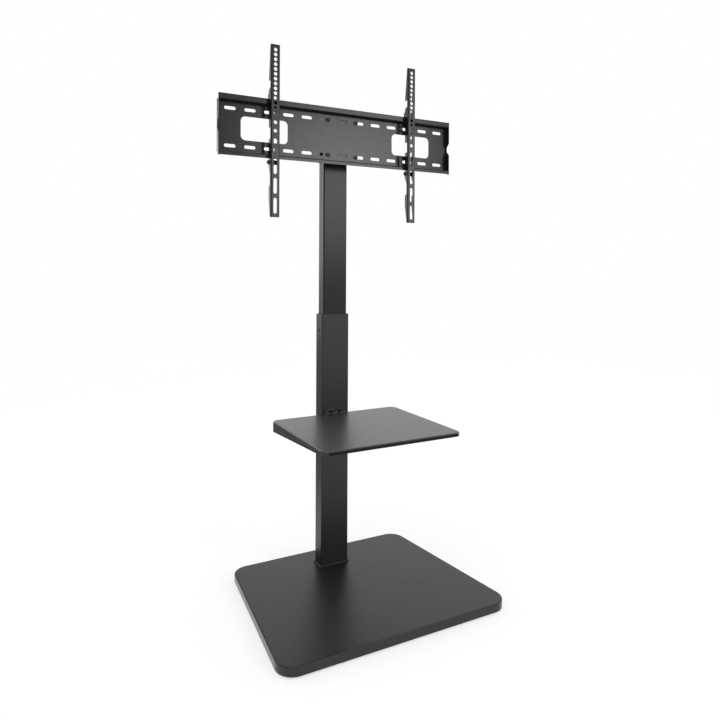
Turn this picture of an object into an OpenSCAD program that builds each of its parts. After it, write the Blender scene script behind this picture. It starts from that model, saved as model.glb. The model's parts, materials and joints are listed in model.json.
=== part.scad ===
// Floor stand for a television: base board, telescoping column, shelf, slotted plate and hooked arms.
// The origin is on the floor under the middle of the base board. The front faces -Y.

/* [Base] */
// Width of the base board along its front edge
base_front_w = 596; // [540:1:680]
// Width of the base board along its back edge
base_back_w = 508; // [440:1:560]
// Depth of the base board from front to back
base_depth = 468; // [420:1:540]
// Thickness of the base board
base_thick = 22; // [18:0.5:30]
// Radius of the base board's corners seen from above
base_corner_r = 41; // [20:1:60]
// Rounding along the base board's upper and lower edges
base_edge_r = 3; // [1:0.5:5]
// Distance from the board's back edge to the column's axis
column_setback = 83; // [60:1:110]
// Height of the feet
foot_h = 3; // [2:0.5:6]
// Diameter of a foot
foot_d = 40; // [24:1:50]
// Distance between the axes of the left and right feet
foot_spacing = 308; // [200:1:360]
// Distance from the board's front or back edge to a foot
foot_margin = 4; // [4:0.5:20]

/* [Outer column] */
// Width of the outer tube
outer_w = 80; // [78:1:90]
// Depth of the outer tube
outer_d = 40; // [39:0.5:50]
// Wall of the outer tube
outer_wall = 2; // [1.5:0.1:2.4]
// Outer corner radius of the outer tube
outer_r = 3; // [2.5:0.1:4]
// Length of the outer tube
outer_len = 678; // [560:1:720]
// Thickness of the plate in the outer tube's foot
foot_plate_t = 8; // [6:0.5:12]
// Distance between the base bolts across the column
base_bolt_x = 54; // [40:1:56]
// Distance between the base bolts from front to back
base_bolt_y = 20; // [19:0.5:22]
// Width of the trim ring round the column's foot
trim_w = 5; // [3:0.5:10]
// Height of the trim ring
trim_h = 4; // [3:0.5:10]

/* [Height lock] */
// Length of the guide sleeve in the outer tube's mouth
sleeve_len = 100; // [80:1:110]
// Distance from the outer tube's mouth down to the locking screw
lock_drop = 43; // [25:1:60]
// Side of the square locking nut
lock_nut_side = 13; // [12:0.5:16]
// Thickness of the locking nut
lock_nut_h = 2; // [1.5:0.1:2.2]

/* [Inner column] */
// Width of the inner tube
inner_w = 70; // [60:1:71]
// Depth of the inner tube
inner_d = 32; // [28:0.5:33]
// Wall of the inner tube
inner_wall = 2; // [1.5:0.1:3]
// Outer corner radius of the inner tube
inner_r = 3; // [2.5:0.1:4]
// Length of the inner tube
inner_len = 750; // [700:1:850]
// How far the inner tube stands out of the outer tube as photographed
inner_out = 527; // [420:1:600]
// Rise of the inner tube above the middle of the mount plate
inner_rise = 57.5; // [56:0.5:66]
// Height of the shoe at the inner tube's lower end
glide_h = 25; // [20:1:40]
// Width of the relief in the front and the back of the shoe
glide_relief_w = 44; // [38:1:50]
// Thickness of the cap on the inner tube
cap_t = 3; // [2:0.5:5]
// Depth of the cap's plug
cap_plug = 12; // [8:1:20]

/* [Mount plate] */
// Width of the mount plate
plate_w = 678; // [640:1:720]
// Height of the mount plate's web
web_h = 127; // [120:0.5:140]
// Sheet of the mount plate
plate_t = 2; // [1.5:0.1:3]
// Inner bend radius of the mount plate
plate_bend_r = 1.5; // [1:0.1:2.5]
// Depth of the folded mount plate
plate_depth = 18; // [16:0.5:24]
// Rise of the upper lip above the web
upper_lip_h = 13.2; // [10:0.1:16]
// Drop of the lower lip below the web
lower_lip_h = 8.2; // [5:0.1:9]
// Drop of the end flanges' feet below the lower lip
end_foot_h = 1.6; // [0.5:0.1:3]
// Pitch of the slots
slot_pitch = 51; // [49:0.5:54]
// Length of a slot in the plate
slot_len = 29; // [26:0.5:32]
// Width of a slot in the plate
slot_w = 8.4; // [8:0.1:10]
// Distance between the upper and the lower row of slots
slot_rows = 92; // [88:0.5:96]
// Distance from the plate's middle to the middle of a window
window_x = 216.7; // [200:0.1:230]
// Width of a window
window_w = 124; // [100:1:140]
// Height of a window
window_h = 59; // [50:1:70]
// Corner radius of a window
window_r = 12; // [6:1:20]
// Height of the notch in an end flange, at its mouth
notch_h = 35; // [26:1:40]
// Depth of the notch in an end flange
notch_depth = 10.5; // [8:0.1:12]

/* [Head] */
// Distance from the inner tube's front to the back of the mount plate's web
standoff = 36; // [30:1:45]
// Thickness of the face plate
face_t = 3; // [2.5:0.5:5]
// Distance from a plate bolt to the face plate's side edge
face_side = 8; // [7:0.5:10]
// Distance from a plate bolt to the face plate's upper or lower edge
face_end = 13; // [9:0.5:15]
// Sheet of the head channel
head_t = 3; // [2:0.5:4]
// Inner bend radius of the head channel
head_bend_r = 2; // [1:0.5:3]
// Height of the head channel's cheeks
head_h = 118; // [96:1:122]
// Distance between the two bolts across the inner tube
head_bolt_rows = 70; // [50:1:74]

/* [Arms] */
// Distance between the axes of the arms as photographed
arm_spacing = 400; // [200:1:560]
// Length of an arm
arm_len = 428; // [400:1:460]
// Width of an arm
arm_w = 24; // [20:1:30]
// Sheet of an arm
arm_t = 2; // [1.5:0.1:2.5]
// Inner bend radius of an arm
arm_bend_r = 1; // [0.8:0.1:1.5]
// Depth of an arm's flanges
arm_depth = 15.4; // [15:0.1:18]
// Distance of the arms' middle below the plate's middle
arm_drop = 4.7; // [0:0.1:10]
// Diameter of the arm's holes and width of its slots
arm_hole_d = 9; // [6.5:0.1:10]
// Pitch of the arm's holes
arm_hole_pitch = 12; // [11:0.5:16]
// Distance from the arm's upper end to the first hole
arm_hole_margin = 13; // [10:0.5:16]
// Length of an arm's slot
arm_slot_len = 39; // [30:0.5:42]
// Pitch of the arm's slots
arm_slot_pitch = 49; // [46:0.5:55]
// Distance from the arm's lower end to the last slot's middle
arm_slot_margin = 28.5; // [26:0.5:32]
// Depth of the hook that reaches over the upper lip
hook_depth = 22; // [21:0.1:26]
// Height of the hook above the end of its finger
hook_h = 21; // [19:0.5:26]
// Distance from the lower lip's edge down to the locking screw's axis
arm_lock_drop = 10; // [9:0.1:14]
// Depth of the locking screw's axis behind the arm's front
arm_lock_depth = 13; // [12:0.1:14]

/* [Shelf] */
// Width of the shelf
shelf_w = 369; // [300:1:420]
// Depth of the shelf
shelf_d = 321; // [260:1:360]
// Height of the shelf's top above the floor
shelf_z = 435; // [300:1:480]
// Sheet of the shelf
shelf_t = 2; // [1.5:0.1:3]
// Inner bend radius of the shelf's edges
shelf_bend_r = 1.5; // [1:0.1:3]
// Corner radius of the shelf seen from above
shelf_corner_r = 20; // [10:1:40]
// Height of the skirt at the back
skirt_back = 26.5; // [20:0.5:40]
// Height of the skirt at the front
skirt_front = 9.2; // [8:0.1:20]
// Width of the tab against the column
tab_w = 64; // [50:1:72]
// Height of the tab above the shelf's top
tab_h = 14; // [13:0.5:20]
// Distance between the screws in the tab
tab_screws = 26; // [18:1:30]
// Length of the bracket under the shelf
bracket_len = 180; // [120:1:220]
// Height of the bracket at the column
bracket_h = 60; // [45:1:80]
// Height of the bracket's nose
bracket_nose = 12; // [8:0.5:20]

/* [Fasteners] */
// Diameter of the base, head and height locking screws
bolt_d = 8; // [7:0.5:8]
// Width across flats of their heads and nuts
bolt_af = 13; // [12:0.5:13]
// Height of their heads
bolt_head_h = 5.3; // [4:0.1:5.5]
// Height of the head channel's nuts
bolt_nut_h = 6.5; // [5:0.1:8]
// Diameter of the base washers
bolt_washer_d = 16; // [15:0.5:17]
// Thickness of the base washers
bolt_washer_h = 1.6; // [1:0.1:2]
// Diameter of the plate, arm and shelf screws
screw_d = 6; // [5:0.5:6]
// Diameter of the button heads
screw_head_d = 10.5; // [9:0.5:12]
// Height of the button heads
screw_head_h = 3.3; // [2.5:0.1:4]
// Width across flats of the smaller nuts
screw_af = 10; // [9:0.5:10]
// Height of the smaller nuts
screw_nut_h = 5; // [4:0.1:6]
// Diameter of the plate washers
screw_washer_d = 12; // [11.5:0.5:14]
// Thickness of the plate washers
screw_washer_h = 1.6; // [1:0.1:2]
// Diameter of the arm's locking sleeve and of the locking screw's head
lock_head_d = 12; // [10:0.5:12]
// Height of the arm's locking screw head
lock_head_h = 5.5; // [4:0.5:7]

/* [Hidden] */
$fn = 48;

// Gap of a sliding or screwed fit, each side
fit_gap = 0.05;
// Gap of a bolt in a plain hole, each side
bolt_gap = 0.3;
// Gap between the arms and the plate's lips, each side
seat_gap = 0.3;
// Gap above the upper lip inside the hook
hook_gap = 0.2;
// Overrun of a cut past the face it opens
over = 1;
// Length that a screw shows beyond its nut
thread_out = 1.5;
// Steps of an arc in an outline
arc_steps = 4;
// Rounding of the folded parts' outline corners
outline_r = 1.5;

// Colours
black_paint = [0.20, 0.20, 0.21];
black_board = [0.27, 0.27, 0.28];
black_plastic = [0.10, 0.10, 0.10];
black_zinc = [0.14, 0.14, 0.14];
bare_zinc = [0.62, 0.62, 0.60];
rubber = [0.08, 0.08, 0.08];

// Heights and depths worked out from the sizes above
base_top = foot_h + base_thick;
column_y = base_depth / 2 - column_setback;
outer_front = column_y - outer_d / 2;
outer_top = base_top + outer_len;
lock_z = outer_top - lock_drop;
inner_front = column_y - inner_d / 2;
inner_top = outer_top + inner_out;
inner_bottom = inner_top - inner_len;
plate_z = inner_top - inner_rise;
web_back = inner_front - standoff;
web_front = web_back - plate_t;
lip_front = web_back - plate_depth;
face_back = web_back + face_t;
plate_bolt_x = slot_pitch - (slot_len - slot_w) / 2;
slot_side_count = floor((plate_w / 2 - slot_len) / slot_pitch);

// Base board: slope of its sides and the centres of its corners
base_lean = atan((base_front_w - base_back_w) / 2 / base_depth);
base_corner_y = base_depth / 2 - base_corner_r;
base_front_x = base_front_w / 2 - base_corner_r * (tan(base_lean) + 1 / cos(base_lean));
base_back_x = base_back_w / 2 + base_corner_r * (tan(base_lean) - 1 / cos(base_lean));
base_centres = [
    [-base_front_x, -base_corner_y], [base_front_x, -base_corner_y],
    [base_back_x, base_corner_y], [-base_back_x, base_corner_y]
];

// Counterbore under the base: room for a head and its washer
counterbore_d = bolt_washer_d + 2 * bolt_gap;
counterbore_h = bolt_head_h + bolt_washer_h + over;

// Guide sleeve and lock
sleeve_w = outer_w - 2 * outer_wall - 2 * fit_gap;
sleeve_d = outer_d - 2 * outer_wall - 2 * fit_gap;
sleeve_top = outer_top - over;
sleeve_bore_w = inner_w + 2 * fit_gap;
sleeve_bore_d = inner_d + 2 * fit_gap;
lock_socket_af = bolt_d / 2;

// Head channel: its cheeks clear the plate nuts, then widen to their full height
head_w = inner_w + 2 * fit_gap + 2 * head_t;
head_depth = standoff - face_t + inner_d * 15 / 16;
screw_nut_r = screw_af / 2 / cos(30);
head_front_h = slot_rows - 2 * screw_nut_r - 2 * over - 2 * bolt_gap;
head_relief = screw_nut_h + thread_out + head_t;
face_w = 2 * (plate_bolt_x + face_side);
face_h = slot_rows + 2 * face_end;

// Arms: heights are measured from the arm's middle, depths from its front face
arm_half = arm_len / 2;
arm_z = plate_z - arm_drop;
arm_front = lip_front - seat_gap - arm_depth;
lip_top = web_h / 2 + upper_lip_h + arm_drop;
flange_top = web_h / 2 + arm_drop;
lip_end = arm_drop - web_h / 2 - lower_lip_h;
arm_lock_z = lip_end - arm_lock_drop;
notch_back = arm_depth + plate_t + 2 * seat_gap;
finger_end = flange_top + arm_t;
hook_slope = hook_depth - arm_depth;
lobe_r = lock_head_d / 2;
arm_mid_clear = arm_hole_d * 2;
arm_hole_count = floor((arm_half - arm_hole_margin - arm_mid_clear) / arm_hole_pitch) + 1;
arm_slot_mid_clear = arm_slot_len / 2 + arm_hole_d;
arm_slot_count = floor((arm_half - arm_slot_margin - arm_slot_mid_clear) / arm_slot_pitch) + 1;

// Arm flange from its upper end to the hook, and from the middle to the lower end:
// each row is a share of the flange depth and a share of the half length
arm_upper_shares = [[0, 1], [0.39, 1], [1, 0.61], [1, 0.588], [0.33, 0.588], [0.33, 0.505], [1, 0.484]];
arm_middle_shares = [[1, 0.042], [0.33, 0.042], [0.33, -0.089], [1, -0.089]];
arm_lower_shares = [[0.45, -0.5], [0.45, -0.62], [1, -0.648], [1, -0.776], [0.39, -1], [0, -1]];

// Shelf
shelf_front = outer_front - shelf_d;
shelf_fold = shelf_t + shelf_bend_r;
shelf_mid_x = shelf_w / 2 - shelf_corner_r;
shelf_centres = [
    [-shelf_mid_x, shelf_front + shelf_corner_r], [shelf_mid_x, shelf_front + shelf_corner_r],
    [shelf_mid_x, outer_front - shelf_corner_r], [-shelf_mid_x, outer_front - shelf_corner_r]
];
tab_screw_z = shelf_z + tab_h / 2;
bracket_top = shelf_z - shelf_t;
bracket_w = tab_w;
bracket_screw_z = bracket_top - bracket_h + screw_head_d;
clinch_d = screw_d + 2 * outer_wall - fit_gap;
clinch_head_d = clinch_d + over;
clinch_h = (outer_d - inner_d) / 2 - outer_wall - bolt_gap;

// Rectangle about the origin with round corners; a slot when r is half of h
module round_rect(w, h, r) {
    square([w - 2 * r, h], center=true);
    if (h > 2 * r) square([w, h - 2 * r], center=true);
    for (sx = [-1, 1], sy = [-1, 1])
        translate([sx * (w / 2 - r), sy * (h / 2 - r)])
            circle(r=r);
}

// Quarter ring of bent sheet, from the angle a on
module bend(a, ri, t) {
    rotate(a)
        intersection() {
            difference() {
                circle(r=ri + t);
                circle(r=ri);
            }
            square([ri + t, ri + t]);
        }
}

// Prism of a side view: the outline's x runs along Y and its y along Z, the prism lies along X
module along_x(w) {
    translate([-w / 2, 0, 0])
        rotate([90, 0, 90])
            linear_extrude(height=w)
                children();
}

// Prism of a front view: the outline's y runs along Z, the prism runs from y0 to y1
module along_y(y0, y1) {
    translate([0, y1, 0])
        rotate([90, 0, 0])
            linear_extrude(height=y1 - y0)
                children();
}

// Carries a profile round an anticlockwise row of corner centres; the profile's x points outwards
module around(centres) {
    n = len(centres);
    for (i = [0:n - 1]) {
        a = centres[i];
        b = centres[(i + 1) % n];
        c = centres[(i + 2) % n];
        heading = atan2(b.y - a.y, b.x - a.x);
        turn = (atan2(c.y - b.y, c.x - b.x) - heading + 360) % 360;
        translate([b.x, b.y, 0])
            rotate([0, 0, heading - 90]) {
                rotate([90, 0, 0])
                    linear_extrude(height=norm(b - a))
                        children();
                rotate_extrude(angle=turn)
                    children();
            }
    }
}

// Arc that rounds the corner q between its neighbours p and s, kept within their edges
function corner_arc(p, q, s, r) =
    let(
        u = (p - q) / norm(p - q),
        v = (s - q) / norm(s - q),
        half = acos(u * v) / 2,
        run = min(r / tan(half), norm(p - q) / 2.1, norm(s - q) / 2.1),
        fit_r = run * tan(half),
        middle = q + (u + v) / norm(u + v) * fit_r / sin(half),
        a0 = atan2(q.y + u.y * run - middle.y, q.x + u.x * run - middle.x),
        a1 = atan2(q.y + v.y * run - middle.y, q.x + v.x * run - middle.x),
        sweep = (a1 - a0 + 540) % 360 - 180
    )
    [for (i = [0:arc_steps])
        middle + fit_r * [cos(a0 + sweep * i / arc_steps), sin(a0 + sweep * i / arc_steps)]];

// Outline with every corner rounded to r
function soften(points, r) =
    let(n = len(points))
    [for (i = [0:n - 1])
        each corner_arc(points[(i + n - 1) % n], points[i], points[(i + 1) % n], r)];

// Channel of folded sheet, standing along Z about the origin: web at y = 0, flanges towards +Y
module channel(w, depth, len, t, ri) {
    fold = t + ri;
    translate([0, 0, -len / 2])
        linear_extrude(height=len) {
            translate([fold - w / 2, 0])
                square([w - 2 * fold, t]);
            for (side = [0, 1])
                mirror([side, 0]) {
                    translate([w / 2 - fold, fold])
                        bend(-90, ri, t);
                    translate([w / 2 - t, fold])
                        square([t, depth - fold]);
                }
        }
}

module hex_prism(af, h) {
    cylinder(h=h, d=af / cos(30), $fn=6);
}

// Ring about Z
module ring(outer, bore, h) {
    difference() {
        cylinder(h=h, d=outer);
        translate([0, 0, -over])
            cylinder(h=h + 2 * over, d=bore);
    }
}

module hex_nut(af, bore, h) {
    difference() {
        hex_prism(af, h);
        translate([0, 0, -over])
            cylinder(h=h + 2 * over, d=bore + 2 * fit_gap);
    }
}

// Screw along +Z with a domed head below z = 0 and a hexagon socket in it
module button_screw(d, head_d, head_h, len) {
    dome_r = (head_d * head_d / 4 + head_h * head_h) / (2 * head_h);
    difference() {
        union() {
            intersection() {
                translate([0, 0, dome_r - head_h])
                    sphere(r=dome_r);
                translate([0, 0, -head_h])
                    cylinder(h=head_h, d=head_d);
            }
            cylinder(h=len, d=d);
        }
        translate([0, 0, -head_h - over])
            hex_prism(d * 2 / 3, head_h * 2 / 3 + over);
    }
}

module hex_bolt(d, af, head_h, len) {
    translate([0, 0, -head_h])
        hex_prism(af, head_h);
    cylinder(h=len, d=d);
}

// Places its children at the four base bolts
module at_base_bolts(z) {
    for (sx = [-1, 1], sy = [-1, 1])
        translate([sx * base_bolt_x / 2, column_y + sy * base_bolt_y / 2, z])
            children();
}

// Places its children at the four plate bolts, their Z along +Y
module at_plate_bolts(y) {
    for (sx = [-1, 1], sz = [-1, 1])
        translate([sx * plate_bolt_x, y, plate_z + sz * slot_rows / 2])
            rotate([-90, 0, 0])
                children();
}

// Places its children at the two bolts across the inner tube, their Z along +X
module at_head_bolts(x) {
    for (sz = [-1, 1])
        translate([x, column_y, plate_z + sz * head_bolt_rows / 2])
            rotate([0, 90, 0])
                children();
}

// Places its children at the four shelf screws, their Z along +Y
module at_shelf_screws(y) {
    for (sx = [-1, 1], z = [tab_screw_z, bracket_screw_z])
        translate([sx * tab_screws / 2, y, z])
            rotate([-90, 0, 0])
                children();
}

module base_board() {
    color(black_board)
        difference() {
            translate([0, 0, foot_h])
                hull()
                    for (c = base_centres)
                        translate([c.x, c.y, 0])
                            rotate_extrude($fn=40)
                                base_edge();
            at_base_bolts(foot_h - over)
                cylinder(h=base_thick + 2 * over, d=bolt_d + 2 * bolt_gap);
            at_base_bolts(foot_h - over)
                cylinder(h=counterbore_h + over, d=counterbore_d);
        }
}

// Section of the board's corner, from the corner's centre outwards
module base_edge() {
    flat = base_corner_r - base_edge_r;
    square([flat, base_thick]);
    translate([0, base_edge_r])
        square([base_corner_r, base_thick - 2 * base_edge_r]);
    for (z = [base_edge_r, base_thick - base_edge_r])
        translate([flat, z])
            circle(r=base_edge_r, $fn=16);
}

module base_feet() {
    color(rubber)
        for (sx = [-1, 1], sy = [-1, 1])
            translate([sx * foot_spacing / 2, sy * (base_depth / 2 - foot_margin - foot_d / 2), 0])
                cylinder(h=foot_h, d1=foot_d - foot_h, d2=foot_d);
}

module base_bolts() {
    color(bare_zinc)
        at_base_bolts(foot_h + counterbore_h - bolt_washer_h)
            hex_bolt(bolt_d, bolt_af, bolt_head_h,
                bolt_washer_h + base_thick - counterbore_h + foot_plate_t + thread_out);
}

module base_washers() {
    color(bare_zinc)
        at_base_bolts(foot_h + counterbore_h - bolt_washer_h)
            ring(bolt_washer_d, bolt_d + 2 * bolt_gap, bolt_washer_h);
}

module foot_trim() {
    corner_x = outer_w / 2 - outer_r;
    corner_y = outer_d / 2 - outer_r;
    color(black_plastic)
        translate([0, column_y, base_top])
            around([[-corner_x, -corner_y], [corner_x, -corner_y], [corner_x, corner_y], [-corner_x, corner_y]])
                polygon([
                    [outer_r + fit_gap, 0], [outer_r + trim_w, 0], [outer_r + trim_w, trim_h / 2],
                    [outer_r + trim_w / 2, trim_h], [outer_r + fit_gap, trim_h]
                ]);
}

module column_foot_plate() {
    color(black_zinc)
        difference() {
            translate([0, column_y, base_top])
                linear_extrude(height=foot_plate_t)
                    round_rect(sleeve_w, sleeve_d, outer_r - outer_wall);
            at_base_bolts(base_top - over)
                cylinder(h=foot_plate_t + 2 * over, d=bolt_d + 2 * fit_gap);
        }
}

module outer_column() {
    color(black_paint)
        difference() {
            translate([0, column_y, base_top])
                linear_extrude(height=outer_len)
                    difference() {
                        round_rect(outer_w, outer_d, outer_r);
                        round_rect(outer_w - 2 * outer_wall, outer_d - 2 * outer_wall, outer_r - outer_wall);
                    }
            translate([-outer_w / 2 - over, column_y, lock_z])
                rotate([0, 90, 0])
                    cylinder(h=outer_wall + 2 * over, d=bolt_d + 2 * fit_gap);
            at_shelf_screws(outer_front - over)
                cylinder(h=outer_wall + 2 * over, d=clinch_d + 2 * fit_gap);
        }
}

module guide_sleeve() {
    color(black_plastic)
        difference() {
            translate([0, column_y, sleeve_top - sleeve_len])
                linear_extrude(height=sleeve_len)
                    difference() {
                        round_rect(sleeve_w, sleeve_d, outer_r - outer_wall);
                        round_rect(sleeve_bore_w, sleeve_bore_d, inner_r);
                    }
            translate([-sleeve_w / 2 - over, column_y, lock_z])
                rotate([0, 90, 0])
                    cylinder(h=(sleeve_w - sleeve_bore_w) / 2 + 2 * over, d=bolt_d + 2 * bolt_gap);
            translate([-sleeve_w / 2 - over, column_y - lock_nut_side / 2 - fit_gap,
                    lock_z - lock_nut_side / 2 - fit_gap])
                cube([lock_nut_h + over + fit_gap, lock_nut_side + 2 * fit_gap, lock_nut_side + 2 * fit_gap]);
        }
}

module height_lock_screw() {
    length = (outer_w - inner_w) / 2 - fit_gap;
    color(black_zinc)
        translate([-outer_w / 2, column_y, lock_z])
            rotate([0, 90, 0])
                difference() {
                    cylinder(h=length, d=bolt_d);
                    translate([0, 0, -over])
                        hex_prism(lock_socket_af, length * 2 / 3 + over);
                }
}

module lock_nut() {
    color(bare_zinc)
        translate([-sleeve_w / 2, column_y, lock_z])
            rotate([0, 90, 0])
                difference() {
                    translate([-lock_nut_side / 2, -lock_nut_side / 2, 0])
                        cube([lock_nut_side, lock_nut_side, lock_nut_h]);
                    translate([0, 0, -over])
                        cylinder(h=lock_nut_h + 2 * over, d=bolt_d + 2 * fit_gap);
                }
}

module inner_column() {
    color(black_paint)
        difference() {
            translate([0, column_y, inner_bottom])
                linear_extrude(height=inner_len)
                    difference() {
                        round_rect(inner_w, inner_d, inner_r);
                        round_rect(inner_w - 2 * inner_wall, inner_d - 2 * inner_wall, inner_r - inner_wall);
                    }
            at_head_bolts(-inner_w / 2 - over)
                cylinder(h=inner_w + 2 * over, d=bolt_d + 2 * bolt_gap);
        }
}

// Shoe round the inner tube's end, open at the front and back so that it passes the shelf's nuts
module inner_glide() {
    color(black_plastic)
        difference() {
            translate([0, column_y, inner_bottom - inner_wall])
                linear_extrude(height=glide_h + inner_wall)
                    difference() {
                        round_rect(sleeve_w, sleeve_d, outer_r - outer_wall);
                        for (side = [-1, 1])
                            translate([0, side * (inner_d / 2 + fit_gap + sleeve_d / 2)])
                                square([glide_relief_w, sleeve_d], center=true);
                        round_rect(inner_w - 4 * inner_wall, inner_d - 4 * inner_wall, inner_r - inner_wall);
                    }
            translate([0, column_y, inner_bottom])
                linear_extrude(height=glide_h + over)
                    round_rect(inner_w + 2 * fit_gap, inner_d + 2 * fit_gap, inner_r + fit_gap);
        }
}

module inner_top_cap() {
    color(black_plastic)
        translate([0, column_y, inner_top]) {
            linear_extrude(height=cap_t)
                round_rect(inner_w, inner_d, inner_r);
            translate([0, 0, -cap_plug])
                linear_extrude(height=cap_plug)
                    difference() {
                        cap_outer_w = inner_w - 2 * inner_wall - 2 * fit_gap;
                        cap_outer_d = inner_d - 2 * inner_wall - 2 * fit_gap;
                        round_rect(cap_outer_w, cap_outer_d, inner_r - inner_wall);
                        round_rect(cap_outer_w - 2 * inner_wall, cap_outer_d - 2 * inner_wall,
                            inner_r - inner_wall);
                    }
        }
}

module head_channel() {
    low = head_front_h / 2;
    high = head_h / 2;
    cheek = soften([
        [0, -low], [head_relief, -low], [head_relief + high - low, -high], [head_depth, -high],
        [head_depth, high], [head_relief + high - low, high], [head_relief, low], [0, low]
    ], outline_r);
    color(black_paint)
        translate([0, face_back, plate_z])
            difference() {
                intersection() {
                    channel(head_w, head_depth, head_h, head_t, head_bend_r);
                    along_x(head_w)
                        polygon(cheek);
                }
                translate([-head_w / 2 - over, column_y - face_back, 0])
                    for (sz = [-1, 1])
                        translate([0, 0, sz * head_bolt_rows / 2])
                            rotate([0, 90, 0])
                                cylinder(h=head_w + 2 * over, d=bolt_d + 2 * bolt_gap);
            }
}

module head_through_bolts() {
    color(black_zinc)
        at_head_bolts(-head_w / 2)
            hex_bolt(bolt_d, bolt_af, bolt_head_h, head_w + bolt_nut_h + thread_out);
}

module head_bolt_nuts() {
    color(black_zinc)
        at_head_bolts(head_w / 2)
            hex_nut(bolt_af, bolt_d, bolt_nut_h);
}

module face_plate() {
    color(black_paint)
        difference() {
            translate([0, 0, plate_z])
                along_y(web_back, face_back)
                    round_rect(face_w, face_h, outline_r);
            at_plate_bolts(web_back - over)
                cylinder(h=face_t + 2 * over, d=screw_d + 2 * bolt_gap);
        }
}

// Upper half of the plate's side view: half the web, the fold forwards and the lip
module plate_half(lip_h) {
    fold = plate_t + plate_bend_r;
    half = web_h / 2;
    translate([-plate_t, 0])
        square([plate_t, half - fold]);
    translate([-fold, half - fold])
        bend(0, plate_bend_r, plate_t);
    translate([fold - plate_depth, half - plate_t])
        square([plate_depth - 2 * fold, plate_t]);
    translate([fold - plate_depth, half + plate_bend_r])
        bend(180, plate_bend_r, plate_t);
    translate([-plate_depth, half + plate_bend_r])
        square([plate_t, lip_h - plate_bend_r]);
}

// Flange at the plate's right end, folded forwards from the web: it meets both lips, has a notch at
// mid height and stands on a foot below the lower lip
module plate_end() {
    fold = plate_t + plate_bend_r;
    height = web_h - 2 * fold - over;
    top = web_h / 2 - plate_t / 2;
    foot = web_h / 2 + lower_lip_h + end_foot_h;
    foot_back = 3 * plate_t - plate_depth;
    mouth = notch_h / 2;
    root = notch_h / 6;
    flange = soften([
        [-fold, top], [-plate_depth, top], [-plate_depth, mouth],
        [notch_depth - plate_depth, root], [notch_depth - plate_depth, -root], [-plate_depth, -mouth],
        [-plate_depth, -foot], [foot_back, -foot], [foot_back, -top], [-fold, -top]
    ], outline_r);
    translate([plate_w / 2 - fold, -fold, -height / 2])
        linear_extrude(height=height) {
            bend(0, plate_bend_r, plate_t);
            translate([-fold, plate_bend_r])
                square([fold, plate_t]);
            translate([plate_bend_r, -outline_r])
                square([plate_t, outline_r]);
        }
    translate([plate_w / 2 - plate_t / 2, 0, 0])
        along_x(plate_t)
            union() {
                polygon(flange);
                translate([-fold - outline_r, -height / 2])
                    square([outline_r, height]);
            }
}

module mount_plate() {
    fold = plate_t + plate_bend_r;
    color(black_paint)
        translate([0, web_back, plate_z])
            difference() {
                union() {
                    difference() {
                        along_x(plate_w)
                            union() {
                                plate_half(upper_lip_h);
                                mirror([0, 1])
                                    plate_half(lower_lip_h);
                            }
                        for (side = [0, 1])
                            mirror([side, 0, 0])
                                translate([plate_w / 2 - fold, -fold - over, fold - web_h / 2])
                                    cube([fold + over, fold + 2 * over, web_h - 2 * fold]);
                    }
                    plate_end();
                    mirror([1, 0, 0])
                        plate_end();
                }
                along_y(-plate_t - over, over)
                    plate_cuts();
            }
}

// Slots and windows of the plate
module plate_cuts() {
    for (i = [-slot_side_count:slot_side_count], row = [-1, 1])
        translate([i * slot_pitch, row * slot_rows / 2])
            round_rect(slot_len, slot_w, slot_w / 2);
    for (side = [-1, 1])
        translate([side * window_x, 0])
            round_rect(window_w, window_h, window_r);
}

module plate_bolts() {
    color(black_zinc)
        at_plate_bolts(web_front - screw_washer_h)
            button_screw(screw_d, screw_head_d, screw_head_h,
                screw_washer_h + plate_t + face_t + screw_nut_h + thread_out);
}

module plate_washers() {
    color(black_zinc)
        at_plate_bolts(web_front - screw_washer_h)
            ring(screw_washer_d, screw_d + 2 * bolt_gap, screw_washer_h);
}

module plate_nuts() {
    color(bare_zinc)
        at_plate_bolts(face_back)
            hex_nut(screw_af, screw_d, screw_nut_h);
}

// Side view of an arm's flange: x is the depth behind the front face, y the height over the middle
function arm_points(shares) = [for (s = shares) [s.x * arm_depth, s.y * arm_half]];
arm_outline = concat(
    arm_points(arm_upper_shares),
    [
        [arm_depth, finger_end + hook_h + hook_slope], [hook_depth, finger_end + hook_h],
        [hook_depth, finger_end], [notch_back, finger_end],
        [notch_back, lip_top + hook_gap], [arm_depth, lip_top + hook_gap]
    ],
    arm_points(arm_middle_shares),
    [
        [arm_depth, arm_lock_z + lobe_r], [arm_lock_depth + lobe_r, arm_lock_z + lobe_r / 2],
        [arm_lock_depth + lobe_r, arm_lock_z - lobe_r / 2]
    ],
    arm_points(arm_lower_shares)
);

module arm(x) {
    color(black_paint)
        translate([x, arm_front, arm_z])
            difference() {
                intersection() {
                    channel(arm_w, hook_depth, arm_len, arm_t, arm_bend_r);
                    along_x(arm_w)
                        polygon(soften(arm_outline, outline_r / 2));
                }
                along_y(-over, arm_t + over)
                    arm_cuts();
                translate([-arm_w / 2 - over, arm_lock_depth, arm_lock_z])
                    rotate([0, 90, 0])
                        cylinder(h=arm_w + 2 * over, d=screw_d + 2 * bolt_gap);
            }
}

// Holes and slots of an arm's face
module arm_cuts() {
    circle(d=arm_hole_d);
    for (i = [0:arm_hole_count - 1])
        translate([0, arm_half - arm_hole_margin - i * arm_hole_pitch])
            circle(d=arm_hole_d);
    for (i = [0:arm_slot_count - 1])
        translate([0, arm_slot_margin - arm_half + i * arm_slot_pitch])
            rotate(90)
                round_rect(arm_slot_len, arm_hole_d, arm_hole_d / 2);
}

module left_arm() {
    arm(-arm_spacing / 2);
}

module right_arm() {
    arm(arm_spacing / 2);
}

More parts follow.
